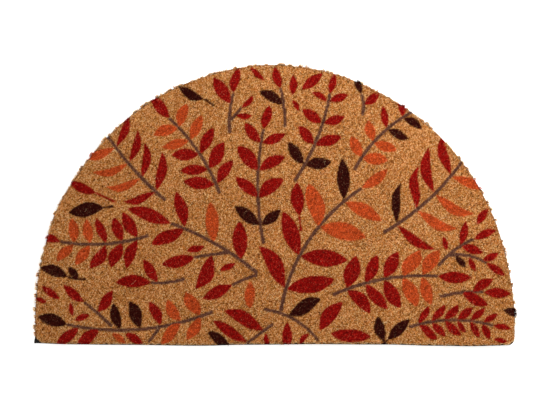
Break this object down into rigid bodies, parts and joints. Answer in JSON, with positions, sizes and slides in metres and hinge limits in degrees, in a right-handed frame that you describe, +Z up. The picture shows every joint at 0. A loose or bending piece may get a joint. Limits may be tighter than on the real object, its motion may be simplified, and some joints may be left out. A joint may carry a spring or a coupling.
{
  "type": "vinyl-backed coir door mat",
  "caption": "Half-round door mat of short cut coir pile bonded to a thin vinyl backing, lying flat, with a straight front edge.",
  "frame": {"origin": "on the floor, under the middle of the mat's box", "axes": "+X along the straight front edge, +Y from the front edge towards the crown of the arc, +Z up"},
  "size_m": [0.7008, 0.4126, 0.015],
  "materials": {
    "coir": "cut coir pile, natural tan, printed with leaf sprigs in red, orange, plum and grey",
    "vinyl": "matt black vinyl sheet"
  },
  "bodies": {
    "root": {"coir_pile": "coir", "vinyl_backing": "vinyl"}
  },
  "joints": []
}
